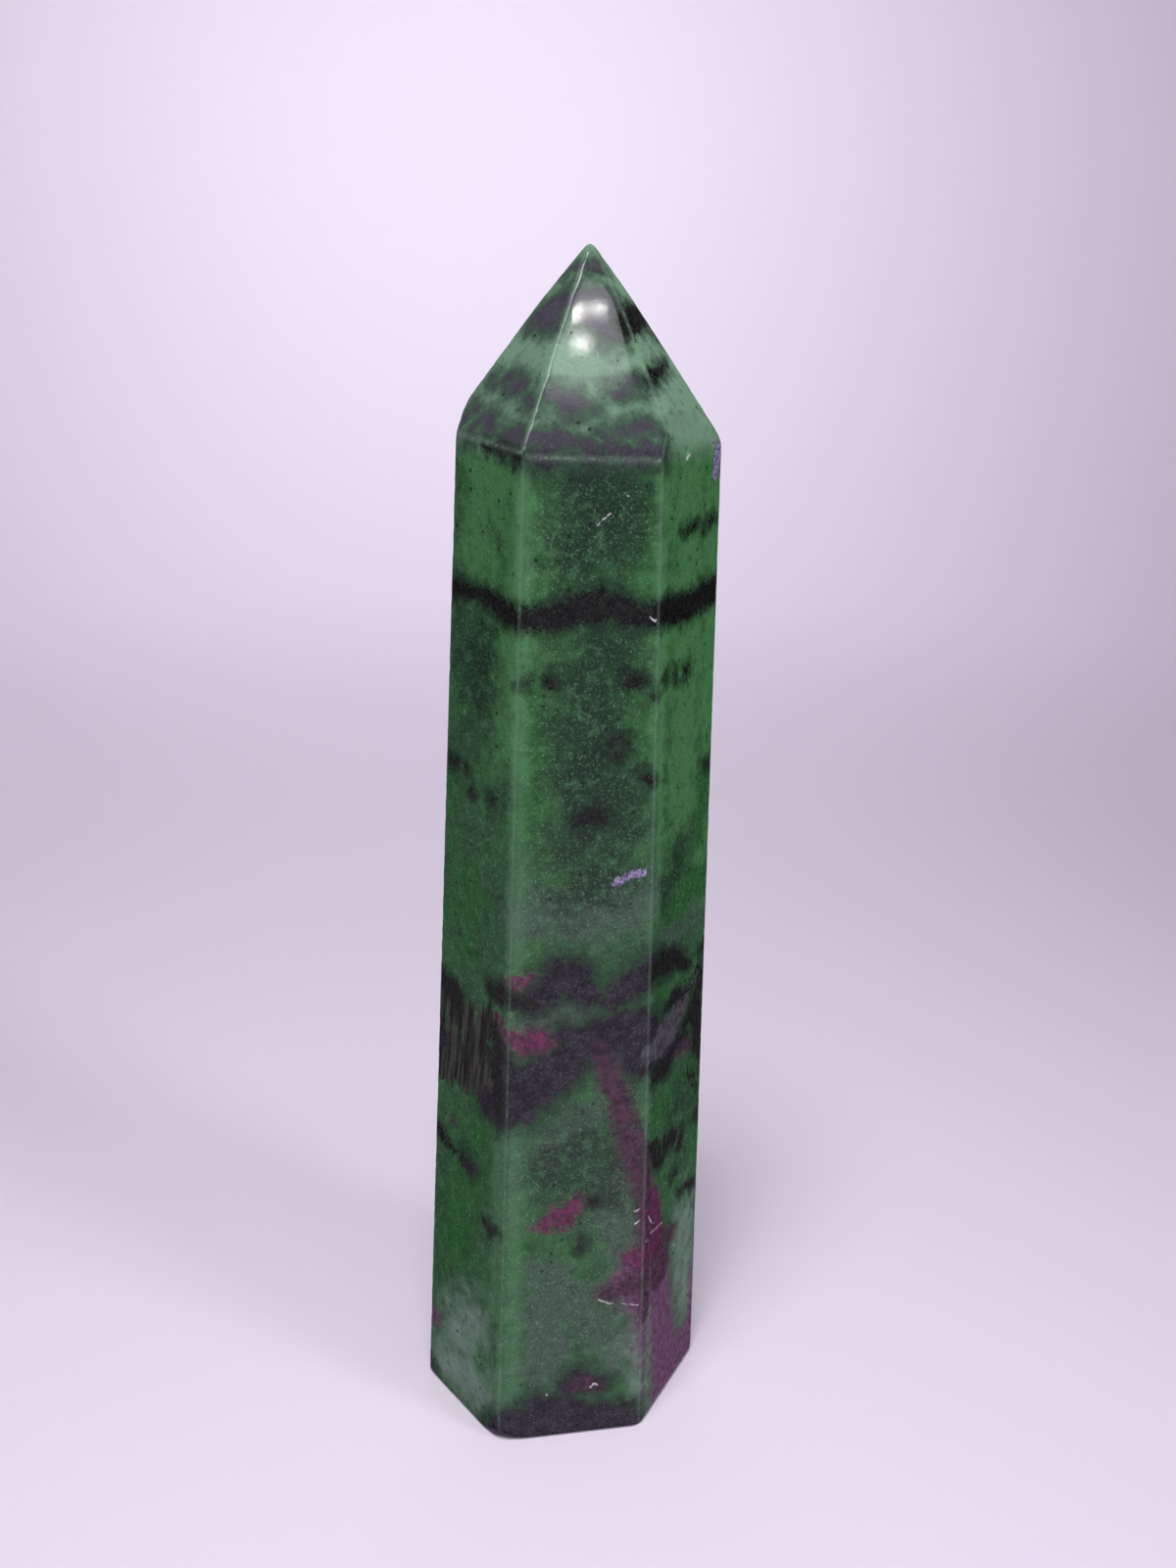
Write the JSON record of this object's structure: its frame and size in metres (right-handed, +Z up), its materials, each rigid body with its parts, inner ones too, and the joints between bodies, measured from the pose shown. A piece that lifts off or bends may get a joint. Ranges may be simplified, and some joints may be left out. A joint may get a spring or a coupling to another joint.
{
  "type": "ruby in zoisite stone tower",
  "caption": "Polished upright stone point with uneven flat sides, a faceted tip and a flat cut base: green zoisite with black hornblende and purple-red ruby.",
  "frame": {"origin": "middle of the bounding box, on the surface that the cut base stands on", "axes": "+Z up the stone to its point, -Y out of the front side, +X to the right of the front side"},
  "size_m": [0.04, 0.0348, 0.16],
  "materials": {
    "ruby_in_zoisite": "polished green zoisite with black and purple-red patches, wet-looking gloss, fine pits and light edge wear"
  },
  "bodies": {
    "root": {"stone_tower": "ruby_in_zoisite"}
  },
  "joints": []
}
